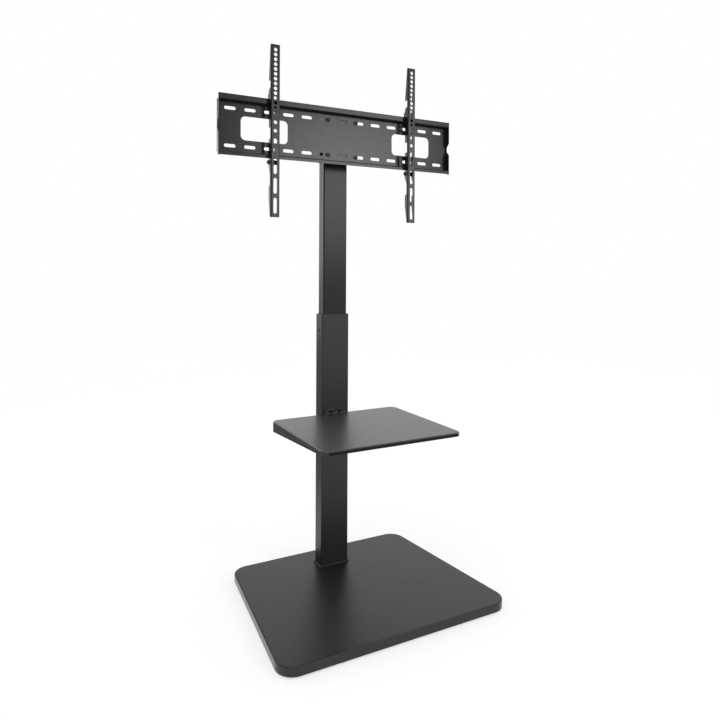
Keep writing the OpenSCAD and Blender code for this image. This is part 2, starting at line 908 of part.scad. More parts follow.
// Places its children on an arm's locking axis, their Z along +X
module at_arm_lock(x, shift) {
    translate([x + shift, arm_front + arm_lock_depth, arm_z + arm_lock_z])
        rotate([0, 90, 0])
            children();
}

module arm_lock_screw(x) {
    color(black_zinc)
        at_arm_lock(x, -arm_w / 2)
            button_screw(screw_d, lock_head_d, lock_head_h, arm_w);
}

module left_lock_screw() {
    arm_lock_screw(-arm_spacing / 2);
}

module right_lock_screw() {
    arm_lock_screw(arm_spacing / 2);
}

module arm_lock_sleeve(x) {
    color(black_plastic)
        at_arm_lock(x, arm_t - arm_w / 2)
            ring(lock_head_d, screw_d + 2 * bolt_gap, arm_w - 2 * arm_t - screw_nut_h);
}

module left_lock_sleeve() {
    arm_lock_sleeve(-arm_spacing / 2);
}

module right_lock_sleeve() {
    arm_lock_sleeve(arm_spacing / 2);
}

module arm_lock_nut(x) {
    color(black_zinc)
        at_arm_lock(x, arm_w / 2 - arm_t - screw_nut_h)
            hex_nut(screw_af, screw_d, screw_nut_h);
}

module left_lock_nut() {
    arm_lock_nut(-arm_spacing / 2);
}

module right_lock_nut() {
    arm_lock_nut(arm_spacing / 2);
}

// Rim of the shelf from a corner's centre outwards: top sheet, bend and skirt
module shelf_rim() {
    translate([0, shelf_z - shelf_t])
        square([shelf_corner_r - shelf_fold, shelf_t]);
    translate([shelf_corner_r - shelf_fold, shelf_z - shelf_fold])
        bend(0, shelf_bend_r, shelf_t);
    translate([shelf_corner_r - shelf_t, shelf_z - skirt_back - over])
        square([shelf_t, skirt_back + over - shelf_fold]);
}

// Height of the skirt's lower edge at y
function skirt_edge(y) =
    shelf_z - skirt_front - (skirt_back - skirt_front) * (y - shelf_front) / shelf_d;

module shelf_tray() {
    color(black_paint)
        difference() {
            union() {
                difference() {
                    union() {
                        translate([0, 0, shelf_z - shelf_t])
                            linear_extrude(height=shelf_t)
                                polygon(shelf_centres);
                        around(shelf_centres)
                            shelf_rim();
                    }
                    along_x(shelf_w + 2 * over)
                        polygon([
                            [shelf_front - over, skirt_edge(shelf_front - over)],
                            [outer_front + over, skirt_edge(outer_front + over)],
                            [outer_front + over, shelf_z - skirt_back - 3 * over],
                            [shelf_front - over, shelf_z - skirt_back - 3 * over]
                        ]);
                    translate([-tab_w / 2 - shelf_fold, outer_front - shelf_fold, shelf_z - skirt_back - 2 * over])
                        cube([tab_w + 2 * shelf_fold, shelf_fold + over, skirt_back + 3 * over]);
                }
                along_x(tab_w)
                    union() {
                        translate([outer_front - 2 * shelf_fold, shelf_z - shelf_t])
                            square([shelf_fold, shelf_t]);
                        translate([outer_front - shelf_fold, shelf_z + shelf_bend_r])
                            bend(-90, shelf_bend_r, shelf_t);
                        translate([outer_front - shelf_t, shelf_z + shelf_bend_r])
                            square([shelf_t, tab_h - shelf_bend_r]);
                    }
            }
            at_shelf_screws(outer_front - shelf_t - over)
                cylinder(h=shelf_t + 2 * over, d=screw_d + 2 * bolt_gap);
        }
}

// Tapered channel under the shelf, closed by a plate against the column
module shelf_bracket() {
    side = soften([
        [0, 0], [-bracket_len, 0], [-bracket_len, -bracket_nose], [-bracket_len + bracket_nose, -bracket_nose],
        [0, -bracket_h]
    ], outline_r);
    color(black_paint)
        difference() {
            union() {
                translate([0, outer_front, bracket_top])
                    intersection() {
                        translate([0, -bracket_len / 2, 0])
                            rotate([-90, 0, 0])
                                channel(bracket_w, bracket_h, bracket_len, shelf_t, shelf_bend_r);
                        along_x(bracket_w)
                            union() {
                                polygon(side);
                                translate([-outline_r, -bracket_h])
                                    square([outline_r, bracket_h]);
                            }
                    }
                translate([-bracket_w / 2 + shelf_t, outer_front - shelf_t, bracket_top - bracket_h])
                    cube([bracket_w - 2 * shelf_t, shelf_t, bracket_h - shelf_t]);
            }
            at_shelf_screws(outer_front - shelf_t - over)
                cylinder(h=shelf_t + 2 * over, d=screw_d + 2 * bolt_gap);
        }
}

module shelf_screws() {
    color(black_zinc)
        at_shelf_screws(outer_front - shelf_t)
            button_screw(screw_d, screw_head_d, screw_head_h, shelf_t + outer_wall + clinch_h);
}

module shelf_nuts() {
    color(bare_zinc)
        at_shelf_screws(outer_front)
            difference() {
                union() {
                    cylinder(h=outer_wall, d=clinch_d);
                    translate([0, 0, outer_wall])
                        cylinder(h=clinch_h, d=clinch_head_d);
                }
                translate([0, 0, -over])
                    cylinder(h=outer_wall + clinch_h + 2 * over, d=screw_d + 2 * fit_gap);
            }
}

base_board();
base_feet();
base_bolts();
base_washers();
foot_trim();
column_foot_plate();
outer_column();
guide_sleeve();
height_lock_screw();
lock_nut();
inner_column();
inner_glide();
inner_top_cap();
head_channel();
head_through_bolts();
head_bolt_nuts();
face_plate();
mount_plate();
plate_bolts();
plate_washers();
plate_nuts();
left_arm();
right_arm();
left_lock_screw();
right_lock_screw();
left_lock_sleeve();
right_lock_sleeve();
left_lock_nut();
right_lock_nut();
shelf_tray();
shelf_bracket();
shelf_screws();
shelf_nuts();
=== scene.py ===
import json
from math import radians

import bmesh
import bpy
import numpy as np
from mathutils import Matrix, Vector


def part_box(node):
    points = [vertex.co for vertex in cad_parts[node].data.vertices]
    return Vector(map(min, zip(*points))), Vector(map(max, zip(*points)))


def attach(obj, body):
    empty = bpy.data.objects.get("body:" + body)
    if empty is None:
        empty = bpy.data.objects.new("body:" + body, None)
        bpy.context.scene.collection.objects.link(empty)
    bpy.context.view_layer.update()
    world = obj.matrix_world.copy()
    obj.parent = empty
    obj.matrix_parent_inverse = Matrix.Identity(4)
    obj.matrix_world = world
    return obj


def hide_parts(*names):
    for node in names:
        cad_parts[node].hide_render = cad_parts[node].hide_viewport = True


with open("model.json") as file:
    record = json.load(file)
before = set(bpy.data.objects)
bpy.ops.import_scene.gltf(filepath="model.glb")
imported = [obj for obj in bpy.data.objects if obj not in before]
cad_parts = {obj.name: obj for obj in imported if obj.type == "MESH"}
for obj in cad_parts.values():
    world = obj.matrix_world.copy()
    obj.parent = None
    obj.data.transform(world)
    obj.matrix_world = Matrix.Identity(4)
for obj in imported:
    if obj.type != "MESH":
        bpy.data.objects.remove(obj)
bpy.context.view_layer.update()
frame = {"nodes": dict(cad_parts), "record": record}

# Studio view of a black floor stand for a television. The board, the tubes and the folded sheets are
# merged copies of their solids with softened edges. The screws, bolts, nuts and weld beads are surfaces
# worked out here. Lengths are metres in the part's own frame: z up, front towards -y.

# M8 bolts and M6 screws: diameter, width across the flats and pitch, then the two kinds of button head
BOLT_D = 0.008
BOLT_AF = 0.013
BOLT_PITCH = 0.00125
SCREW_D = 0.006
SCREW_AF = 0.010
SCREW_PITCH = 0.001
SCREW_HEAD_D = 0.0105
SCREW_HEAD_H = 0.0033
LOCK_HEAD_D = 0.012
LOCK_HEAD_H = 0.0055
# Thickness of the shelf's sheet, which its upper screws hold to the outer tube
SHELF_T = 0.002

# Angles round a fastener at which its skin has points
TURN = np.linspace(0.0, 2.0 * np.pi, 36, endpoint=False)
# Turns that lay a fastener's own z axis along x or y
ALONG = {
    "x": np.array([[0, 0, 1], [1, 0, 0], [0, 1, 0]]),
    "y": np.array([[1, 0, 0], [0, 0, 1], [0, -1, 0]]),
}
# Depth of a thread and taper of its end, in pitches, and rows of points in a pitch
THREAD_DEPTH_SHARE = 0.495
THREAD_TAPER_SHARE = 0.3
THREAD_STEPS = 6.0
# Threaded length of a bolt and of a screw, in thread diameters
BOLT_THREAD_SHARE = 3.0
SCREW_THREAD_SHARE = 2.0
# Chamfer of hexagon heads and nuts: width of the flat face that it leaves, and its angle
FACE_SHARE = 0.96
CHAMFER = radians(30.0)
# Bore and countersink of a nut, in thread diameters
BORE_SHARE = 0.94
SINK_SHARE = 1.06
# Hexagon socket: its width in thread diameters and depth in head heights, the rim round its corners, the
# share of its bottom that a drilled cone takes, that cone's depth and the rounding of its mouth
SOCKET_SHARE = 2.0 / 3.0
RIM_SHARE = 1.12
CONE_SHARE = 0.9
CONE_DEPTH = 0.0003
MOUTH_ROUND = 0.00005
# Height of the round washer face under a bolt's head
WASHER_FACE_H = 0.0002

# Widths by which edges are softened, from the least angle of an edge on
AS_DRAWN = 0.0
WASHER_EDGE = 0.0002
SHEET_EDGE = 0.0003
TUBE_EDGE = 0.0004
MOULDED_EDGE = 0.0005
CAP_EDGE = 0.0006
SHARP_ANGLE = radians(35.0)
EDGE_STEPS = 2
# Points nearer than this are one, and faces flatter than this angle to each other are one
SAME_PLACE = 1e-6
SAME_PLANE = radians(0.5)
# Angles past which an edge of a fastener or of a weld bead stays sharp
FASTENER_CREASE = radians(32.0)
WELD_CREASE = radians(50.0)

# Upward part of a face's normal, below which it belongs to the board's edge or isn't the shelf's top
BOARD_UPRIGHT = 0.2
SHELF_FALL = 0.45
# Forward part of the normals on the shelf's front edge, and the depth that holds them: these faces get
# painted shade
FRONT_SQUARE = 0.93
FRONT_DEPTH = 0.03
# Downward part of the normals under the plate's upper fold, and the height from the top that holds them:
# these faces get painted shade
FOLD_DOWN = 0.15
FOLD_REACH = 0.0292
# Height that the head channel's cheeks gain, and the height from their top that holds their upper rim
CHEEK_RISE = 0.007
CHEEK_RIM = 0.0012

# Weld beads at the head: radius, half their length and distance in from the channel's cheek
WELD_R = 0.0048
WELD_HALF = 0.033
WELD_INSET = 0.005
# Step between a bead's rows, pitch and share of its ripple, how late its ends close and what they leave
WELD_STEP = 0.0006
WELD_RIPPLE = 0.0022
WELD_RIPPLE_SHARE = 0.12
WELD_END_POWER = 24
WELD_END_SHARE = 0.02
WELD_ARC = np.linspace(0.0, np.pi / 2.0, 7)


def node_tree(name):
    """A new material with its nodes, its links and its Principled shader."""
    material = bpy.data.materials.new(name)
    material.use_nodes = True
    tree = material.node_tree
    return material, tree.nodes, tree.links, tree.nodes["Principled BSDF"]


def noise(nodes, links, scale, detail=2.0):
    """Noise on Object coordinates, scale in grains per metre."""
    place = nodes.new("ShaderNodeTexCoord")
    texture = nodes.new("ShaderNodeTexNoise")
    texture.inputs["Scale"].default_value = scale
    texture.inputs["Detail"].default_value = detail
    links.new(place.outputs["Object"], texture.inputs["Vector"])
    return texture.outputs["Fac"]


def ramp(nodes, links, value, low, high):
    """Maps a noise value of about 0.3 to 0.7 onto low to high."""
    span = nodes.new("ShaderNodeMapRange")
    span.inputs["From Min"].default_value = 0.3
    span.inputs["From Max"].default_value = 0.7
    span.inputs["To Min"].default_value = low
    span.inputs["To Max"].default_value = high
    links.new(value, span.inputs["Value"])
    return span.outputs["Result"]


def tint(nodes, links, value, dark, light):
    """Colour that drifts between dark and light with a noise value."""
    mix = nodes.new("ShaderNodeMix")
    mix.data_type = "RGBA"
    mix.inputs["A"].default_value = (*dark, 1.0)
    mix.inputs["B"].default_value = (*light, 1.0)
    links.new(ramp(nodes, links, value, 0.0, 1.0), mix.inputs["Factor"])
    return mix.outputs["Result"]


def coat(name, tones, rough, grain, depth, specular=0.5, metallic=0.0, film=0.0):
    """A painted, plated or moulded finish: colour and gloss drift slowly, and fine grains roughen it.

    tones is its darkest and lightest colour and rough its lowest and highest roughness. grain is grains
    per metre and depth their height in metres. film is the weight of a smoother clear film on top."""
    material, nodes, links, shader = node_tree(name)
    drift = noise(nodes, links, scale=7.0, detail=3.0)
    links.new(tint(nodes, links, drift, *tones), shader.inputs["Base Color"])
    wear = noise(nodes, links, scale=60.0, detail=4.0)
    links.new(ramp(nodes, links, wear, *rough), shader.inputs["Roughness"])
    shader.inputs["Specular IOR Level"].default_value = specular
    shader.inputs["Specular Tint"].default_value = (0.95, 0.945, 1.0, 1.0)
    shader.inputs["Metallic"].default_value = metallic
    shader.inputs["Coat Weight"].default_value = film
    shader.inputs["Coat Roughness"].default_value = 0.32
    bump = nodes.new("ShaderNodeBump")
    bump.inputs["Strength"].default_value = 0.5
    bump.inputs["Distance"].default_value = depth
    links.new(noise(nodes, links, grain), bump.inputs["Height"])
    links.new(bump.outputs["Normal"], shader.inputs["Normal"])
    return material


# Black powder coat: glossiest on the plate, the arms and the head
PAINT = ((0.004, 0.004, 0.0048), (0.006, 0.006, 0.0068))
PAINT_GRAIN = 1100.0
powder_coat = coat("black_powder_coat", PAINT, rough=(0.24, 0.27), grain=PAINT_GRAIN, depth=0.000012)

# Paint of the inner tube, which slides, and of the duller outer tube
inner_coat = coat("inner_tube_coat", PAINT, rough=(0.26, 0.28), grain=PAINT_GRAIN, depth=0.000004,
                  specular=0.31)
outer_coat = coat("outer_tube_coat", PAINT, rough=(0.37, 0.40), grain=PAINT_GRAIN, depth=0.00002,
                  specular=0.54)

# Dull paint of the shelf's top under a thin clear film
shelf_coat = coat("shelf_powder_coat", PAINT, rough=(0.44, 0.47), grain=PAINT_GRAIN, depth=0.00002,
                  film=0.6)

# Dull paint with hardly any gloss. Under the plate's upper fold and on the shelf's front edge it is painted
# shade, dull paint that darkens those faces as shade would; the height lock screw takes it as its plain
# finish
dull_coat_and_painted_shade = coat("dull_paint_and_painted_shade", PAINT, rough=(0.48, 0.52), grain=PAINT_GRAIN, depth=0.00002,
                  specular=0.15)

# Lacquer of the base board and of the glossier band round its edge
LACQUER_GRAIN = 700.0
board_lacquer = coat("board_lacquer", ((0.002, 0.002, 0.0026), (0.003, 0.003, 0.0036)),
                     rough=(0.37, 0.40), grain=LACQUER_GRAIN, depth=0.00002)
edge_lacquer = coat("edge_lacquer", ((0.006, 0.006, 0.0065), (0.008, 0.008, 0.0085)),
                    rough=(0.14, 0.18), grain=LACQUER_GRAIN, depth=0.00002)

# Blackened steel of the screws and bolts in view
PLATING_GRAIN = 1500.0
black_oxide = coat("black_oxide", ((0.005, 0.005, 0.006), (0.009, 0.009, 0.010)),
                   rough=(0.12, 0.18), grain=PLATING_GRAIN, depth=0.00001)

# Zinc-plated steel of the nuts and bolts out of view
zinc_plate = coat("zinc_plate", ((0.50, 0.50, 0.48), (0.60, 0.60, 0.58)),
                  rough=(0.28, 0.38), grain=PLATING_GRAIN, depth=0.00002, metallic=1.0)

# Plastic of the foot ring, the cap, the guides and the sleeves
moulded_plastic = coat("moulded_plastic", ((0.008, 0.008, 0.008), (0.011, 0.011, 0.011)),
                       rough=(0.45, 0.52), grain=1300.0, depth=0.00005)

# Rubber of the feet
foot_rubber = coat("foot_rubber", ((0.012, 0.012, 0.012), (0.018, 0.018, 0.018)),
                   rough=(0.70, 0.82), grain=1000.0, depth=0.0001, specular=0.3)

FINISHES = {
    "black_powder_coat": powder_coat,
    "black_lacquered_board": board_lacquer,
    "black_screw": black_oxide,
    "zinc_plated_steel": zinc_plate,
    "black_plastic": moulded_plastic,
    "black_rubber": foot_rubber,
}
SLOTS = {part["node"]: part["material_slot"] for part in frame["record"]["subparts"]}
BODIES = {node: body for body, nodes in frame["record"]["behaviour"]["bodies"].items() for node in nodes}


def add(name, mesh, body, material):
    """Links a finished mesh as a piece of the object and lets it ride on its body."""
    mesh.materials.clear()
    mesh.materials.append(material)
    piece = bpy.data.objects.new(name, mesh)
    bpy.context.scene.collection.objects.link(piece)
    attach(piece, body)
    return piece


def soften(piece, width):
    """Rounds the piece's sharp edges by width, with normals that keep its flats flat."""
    if width > 0.0:
        bevel = piece.modifiers.new("edges", "BEVEL")
        bevel.limit_method = "ANGLE"
        bevel.angle_limit = SHARP_ANGLE
        bevel.width = width
        bevel.segments = EDGE_STEPS
    normals = piece.modifiers.new("normals", "WEIGHTED_NORMAL")
    normals.keep_sharp = width == 0.0


def dress(node, name, width, material=None):
    """A copy of a node's solid with its triangles merged into faces and its edges softened by width."""
    work = bmesh.new()
    work.from_mesh(frame["nodes"][node].data)
    bmesh.ops.remove_doubles(work, verts=work.verts, dist=SAME_PLACE)
    bmesh.ops.dissolve_limit(work, angle_limit=SAME_PLANE, verts=work.verts, edges=work.edges)
    mesh = bpy.data.meshes.new(name)
    work.to_mesh(mesh)
    work.free()
    mesh.shade_smooth()
    piece = add(name, mesh, BODIES[node], material or FINISHES[SLOTS[node]])
    soften(piece, width)
    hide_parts(node)
    return piece


def read_rows(items, field):
    """One row of three numbers for each vertex or face: its place, normal or middle."""
    rows = np.empty(len(items) * 3)
    items.foreach_get(field, rows)
    return rows.reshape(-1, 3)


def finish_faces(piece, chosen, material):
    """Puts one more material on a piece, on the chosen faces."""
    faces = piece.data.polygons
    index = np.empty(len(faces), np.int32)
    faces.foreach_get("material_index", index)
    index[chosen] = len(piece.data.materials)
    piece.data.materials.append(material)
    faces.foreach_set("material_index", index)


def base_board():
    """Lacquered board, whose upright edge band is glossier than its faces."""
    board = dress("base_board", "board", AS_DRAWN)
    climb = read_rows(board.data.polygons, "normal")[:, 2]
    finish_faces(board, np.abs(climb) < BOARD_UPRIGHT, edge_lacquer)


def column_tubes():
    """Outer and inner tube, each with the gloss of its own paint."""
    dress("outer_column", "outer_tube", TUBE_EDGE, outer_coat)
    dress("inner_column", "inner_tube", TUBE_EDGE, inner_coat)


def mount_plate():
    """Wide folded plate, with painted shade on the underside of its upper fold: dull paint that darkens it
    as shade would.
    """
    plate = dress("mount_plate", "wide_plate", SHEET_EDGE)
    climb = read_rows(plate.data.polygons, "normal")[:, 2]
    height = read_rows(plate.data.polygons, "center")[:, 2]
    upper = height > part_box("mount_plate")[1].z - FOLD_REACH
    # Painted shade: dull paint on the faces under the upper fold darkens them as the fold's shade would
    finish_faces(plate, (climb < -FOLD_DOWN) & upper, dull_coat_and_painted_shade)


def arms():
    """The two perforated arms that carry the television."""
    dress("left_arm", "arm_left", SHEET_EDGE)
    dress("right_arm", "arm_right", SHEET_EDGE)


def shelf():
    """Shelf pan with a clear film on its top, plain paint on its skirt and painted shade on its front edge,
    dull paint that darkens it as shade would, and its bracket."""
    pan = dress("shelf_tray", "shelf_pan", SHEET_EDGE, shelf_coat)
    normal = read_rows(pan.data.polygons, "normal")
    depth = read_rows(pan.data.polygons, "center")[:, 1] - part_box("shelf_tray")[0].y
    falls = normal[:, 2] < SHELF_FALL
    finish_faces(pan, falls, powder_coat)
    # Painted shade: dull paint on the shelf's front edge darkens it as shade would
    finish_faces(pan, falls & (normal[:, 1] < -FRONT_SQUARE) & (depth < FRONT_DEPTH), dull_coat_and_painted_shade)
    dress("shelf_bracket", "shelf_support", TUBE_EDGE)


def head():
    """Face plate and folded channel, whose cheeks reach up behind the plate's upper bolt slots."""
    dress("face_plate", "head_face", TUBE_EDGE)
    channel = dress("head_channel", "head_fold", TUBE_EDGE)
    spots = read_rows(channel.data.vertices, "co")
    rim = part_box("head_channel")[1].z - CHEEK_RIM
    spots[:, 2] += np.where(spots[:, 2] > rim, CHEEK_RISE, 0.0)
    channel.data.vertices.foreach_set("co", spots.ravel())


def moulded_pieces():
    """Ring round the column's foot, cap of the inner tube, feet of the board, sleeves of the arm screws."""
    dress("foot_trim", "foot_ring", MOULDED_EDGE)
    dress("inner_top_cap", "top_cap", CAP_EDGE)
    dress("base_feet", "feet", MOULDED_EDGE)
    dress("left_lock_sleeve", "spacer_left", SHEET_EDGE)
    dress("right_lock_sleeve", "spacer_right", SHEET_EDGE)


def plate_washers():
    """Washers under the heads of the mount plate's screws."""
    dress("plate_washers", "washers", WASHER_EDGE)


def enclosed_solids():
    """Finishes of the solids that stay as they are, inside the tubes and the board or in the tube's bore."""
    for node in ("base_bolts", "base_washers", "column_foot_plate", "guide_sleeve", "height_lock_screw",
                 "lock_nut", "inner_glide", "shelf_nuts"):
        mesh = frame["nodes"][node].data
        mesh.materials.clear()
        mesh.materials.append(dull_coat_and_painted_shade if node == "height_lock_screw" else FINISHES[SLOTS[node]])


def grid_faces(rows, count, ring):
    """Quads of a skin of rows of count points. Each row closes on itself, and in a ring the last row joins
    the first."""
    lower = np.arange(rows if ring else rows - 1)[:, None] * count
    upper = (lower + count) % (rows * count)
    column = np.arange(count)
    follow = (column + 1) % count
    quads = np.stack([lower + column, lower + follow, upper + follow, upper + column], axis=-1)
    return quads.reshape(-1, 4)


def skin(name, points, faces, crease):
    """A closed mesh with its doubles merged and its faces outwards, smooth but for edges past crease."""
    mesh = bpy.data.meshes.new(name)
    mesh.from_pydata(points.tolist(), [], faces)
    work = bmesh.new()
    work.from_mesh(mesh)
    bmesh.ops.remove_doubles(work, verts=work.verts, dist=SAME_PLACE / 10.0)
    bmesh.ops.recalc_face_normals(work, faces=work.faces)
    work.to_mesh(mesh)
    work.free()
    mesh.shade_smooth()
    mesh.set_sharp_from_angle(angle=crease)
    return mesh


def revolve(rows):
    """Points and faces of a skin round the z axis.

    Each row is (radius, height), numbers or arrays over the angles TURN, and the point at angle a is
    (radius cos a, radius sin a, height). A first or last row of radius zero closes the skin at a pole.
    Rows that start and end off the axis are joined, last to first, as a ring."""
    radius = np.array([np.broadcast_to(r, TURN.shape) for r, h in rows], float)
    height = np.array([np.broadcast_to(h, TURN.shape) for r, h in rows], float)
    points = np.stack([radius * np.cos(TURN), radius * np.sin(TURN), height], axis=-1)
    return points.reshape(-1, 3), grid_faces(len(rows), len(TURN), radius[0].max() > 0.0)


def fastener(name, rows, node, places, axis, material):
    """One mesh that holds a revolved fastener at each place, its z axis turned to axis ("x" or "y")."""
    points, faces = revolve(rows)
    turned = points @ ALONG[axis].T
    every = np.concatenate([turned + place for place in places])
    joined = np.concatenate([faces + i * len(points) for i in range(len(places))])
    mesh = skin(name, every, joined.tolist(), FASTENER_CREASE)
    piece = add(name, mesh, BODIES[node], material)
    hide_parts(node)


def hexagon(across):
    """Radius of a hexagon of that width across its flats, at the angles TURN."""
    return across / 2.0 / np.cos((TURN + np.pi / 6.0) % (np.pi / 3.0) - np.pi / 6.0)


def thread(diameter, pitch, start, end):
    """Rows of a screw thread: the radius falls and rises once each pitch, and the wave turns with the
    angle. In its last pitch the thread tapers."""
    height = np.linspace(start, end, max(2, round((end - start) / pitch * THREAD_STEPS)) + 1)
    wave = np.abs((height[:, None] / pitch - TURN / (2.0 * np.pi)) % 1.0 - 0.5) * 2.0
    taper = 1.0 - np.clip((end - height[:, None]) / pitch, 0.0, 1.0)
    radius = diameter / 2.0 - pitch * (THREAD_DEPTH_SHARE * wave + THREAD_TAPER_SHARE * taper)
    return list(zip(radius, height))


def shank(diameter, pitch, length, threaded):
    """Rows of a plain shank from its head on, its threaded end and the end's flat face."""
    plain = length - threaded
    radius = diameter / 2.0
    return [(radius, 0.0), (radius, plain), *thread(diameter, pitch, plain, length), (0.0, length)]


def chamfered(across, low, high, bevel):
    """Rows of a hexagon between two heights, its corners turned down at each end that bevel names."""
    corner = hexagon(across)
    face = FACE_SHARE * across / 2.0
    down = (corner - face) * np.tan(CHAMFER)
    lower = low + (down if "low" in bevel else 0.0)
    upper = high - (down if "high" in bevel else 0.0)
    return [(face, low), (corner, lower), (corner, upper), (face, high)]


def hex_bolt(diameter, across, head_h, pitch, length):
    """Hexagon bolt: head with chamfered corners below z = 0 and a shank above."""
    head_rows = chamfered(across, -head_h, -WASHER_FACE_H, ("low",))
    return [(0.0, -head_h), *head_rows, *shank(diameter, pitch, length, BOLT_THREAD_SHARE * diameter)]


def hex_nut(diameter, across, height):
    """Hexagon nut with both faces turned down and a countersunk bore."""
    bore = BORE_SHARE * diameter / 2.0
    sink = SINK_SHARE * diameter / 2.0
    outside = chamfered(across, 0.0, height, ("low", "high"))
    return [(sink, 0.0), *outside, (sink, height), (bore, height - (sink - bore)), (bore, sink - bore)]


def button_screw(diameter, head_d, head_h, pitch, length):
    """Button-head screw: hexagon socket, rounded rim and a dome that is an arc from the rim to the seat."""
    socket = hexagon(SOCKET_SHARE * diameter)
    bottom = SOCKET_SHARE * head_h - head_h
    rim = RIM_SHARE * socket.max()
    radius = head_d / 2.0
    dome = (radius ** 2 + head_h ** 2) / (2.0 * head_h)
    reach = rim + (radius - rim) * np.sin(np.linspace(0.0, 1.0, 9) * np.pi / 2.0)
    rise = dome - head_h - np.sqrt(np.maximum(dome ** 2 - reach ** 2, 0.0))
    return [
        (0.0, bottom + CONE_DEPTH), (CONE_SHARE * socket, bottom), (socket, bottom), (socket, -head_h),
        (0.5 * (socket + rim), rise[0] + MOUTH_ROUND), *zip(reach, rise), (radius, 0.0),
        *shank(diameter, pitch, length, SCREW_THREAD_SHARE * diameter)]


def middle(node):
    """Middle of a node's box."""
    low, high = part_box(node)
    return (np.array(low) + np.array(high)) / 2.0


def pattern(node, head_across):
    """The four places of a node's screws, whose heads of that width fill its box in x and z."""
    low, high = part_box(node)
    half_x = (high.x - low.x - head_across) / 2.0
    half_z = (high.z - low.z - head_across) / 2.0
    x, y, z = middle(node)
    return [np.array([x + sx * half_x, y, z + sz * half_z]) for sx in (-1, 1) for sz in (-1, 1)]


def moved_to(places, axis, value):
    """The same places with their coordinate on axis 0, 1 or 2 set to value."""
    return [np.where(np.arange(3) == axis, value, place) for place in places]


def plate_screws():
    """Button screws of the mount plate and the nuts behind it."""
    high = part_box("plate_bolts")[1]
    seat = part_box("plate_washers")[0].y
    places = moved_to(pattern("plate_bolts", SCREW_HEAD_D), 1, seat)
    screw = button_screw(SCREW_D, SCREW_HEAD_D, SCREW_HEAD_H, SCREW_PITCH, high.y - seat)
    fastener("plate_screws", screw, "plate_bolts", places, "y", black_oxide)
    nut_low, nut_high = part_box("plate_nuts")
    nut = hex_nut(SCREW_D, SCREW_AF, nut_high.y - nut_low.y)
    fastener("plate_hex_nuts", nut, "plate_nuts", moved_to(places, 1, nut_low.y), "y", zinc_plate)


def shelf_screws():
    """Button screws of the shelf, two in its tab and two in its bracket."""
    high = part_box("shelf_screws")[1]
    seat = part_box("outer_column")[0].y - SHELF_T
    places = moved_to(pattern("shelf_screws", SCREW_HEAD_D), 1, seat)
    screw = button_screw(SCREW_D, SCREW_HEAD_D, SCREW_HEAD_H, SCREW_PITCH, high.y - seat)
    fastener("shelf_button_screws", screw, "shelf_screws", places, "y", black_oxide)


def cross_bolts():
    """The two hexagon bolts across the inner tube and their nuts, on the channel's cheeks."""
    low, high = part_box("head_through_bolts")
    nut_low, nut_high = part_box("head_bolt_nuts")
    cheek = -nut_low.x
    x, y, z = middle("head_through_bolts")
    across_corners = BOLT_AF / np.cos(np.pi / 6.0)
    half_z = (high.z - low.z - across_corners) / 2.0
    places = [np.array([-cheek, y, z + side * half_z]) for side in (-1, 1)]
    bolt = hex_bolt(BOLT_D, BOLT_AF, -low.x - cheek, BOLT_PITCH, high.x + cheek)
    fastener("cross_bolts", bolt, "head_through_bolts", places, "x", black_oxide)
    nut = hex_nut(BOLT_D, BOLT_AF, nut_high.x - nut_low.x)
    fastener("cross_nuts", nut, "head_bolt_nuts", moved_to(places, 0, cheek), "x", black_oxide)


def arm_screws(side):
    """Locking screw of the left or right arm and its nut."""
    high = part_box(f"{side}_lock_screw")[1]
    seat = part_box(f"{side}_arm")[0].x
    places = moved_to([middle(f"{side}_lock_screw")], 0, seat)
    screw = button_screw(SCREW_D, LOCK_HEAD_D, LOCK_HEAD_H, SCREW_PITCH, high.x - seat)
    fastener(f"arm_screw_{side}", screw, f"{side}_lock_screw", places, "x", black_oxide)
    nut_low, nut_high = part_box(f"{side}_lock_nut")
    nut = hex_nut(SCREW_D, SCREW_AF, nut_high.x - nut_low.x)
    fastener(f"arm_nut_{side}", nut, f"{side}_lock_nut", moved_to(places, 0, nut_low.x), "x", black_oxide)


def weld_bead(name, start, end, along, out, body):
    """Weld bead in the corner between two plates: a quarter round whose radius ripples along its length.

    The point at share s of the length and angle a is the corner, s of the way along the weld, plus
    r(s) (cos a, sin a) in the two plates' directions. r(s) is the bead's radius times one plus a share of
    the ripple's cosine, drawn in towards both ends."""
    length = np.linalg.norm(end - start)
    share = np.linspace(0.0, 1.0, int(length / WELD_STEP))
    wave = np.cos(share * length / WELD_RIPPLE * 2.0 * np.pi)
    drawn_in = np.sqrt(np.clip(1.0 - (2.0 * share - 1.0) ** WELD_END_POWER, WELD_END_SHARE, 1.0))
    radius = WELD_R * (1.0 + WELD_RIPPLE_SHARE * wave) * drawn_in
    spread = np.stack([np.cos(WELD_ARC), np.sin(WELD_ARC)], axis=-1) @ np.stack([along, out])
    corner = start + share[:, None, None] * (end - start)
    loop = np.concatenate([corner + radius[:, None, None] * spread, corner], axis=1)
    rows, count = loop.shape[:2]
    caps = np.arange(count) + np.array([[0], [(rows - 1) * count]])
    faces = grid_faces(rows, count, ring=False).tolist() + caps.tolist()
    piece = add(name, skin(name, loop.reshape(-1, 3), faces, WELD_CREASE), body, powder_coat)


def head_welds():
    """Welds between the face plate and the head channel, outside both cheeks."""
    low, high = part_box("head_channel")
    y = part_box("face_plate")[1].y
    z = middle("head_channel")[2]
    for side, cheek, name in ((-1, low.x, "weld_left"), (1, high.x, "weld_right")):
        x = cheek - side * WELD_INSET
        weld_bead(name, np.array([x, y, z - WELD_HALF]), np.array([x, y, z + WELD_HALF]),
                  along=np.array([side * 1.0, 0.0, 0.0]), out=np.array([0.0, 1.0, 0.0]), body="head")


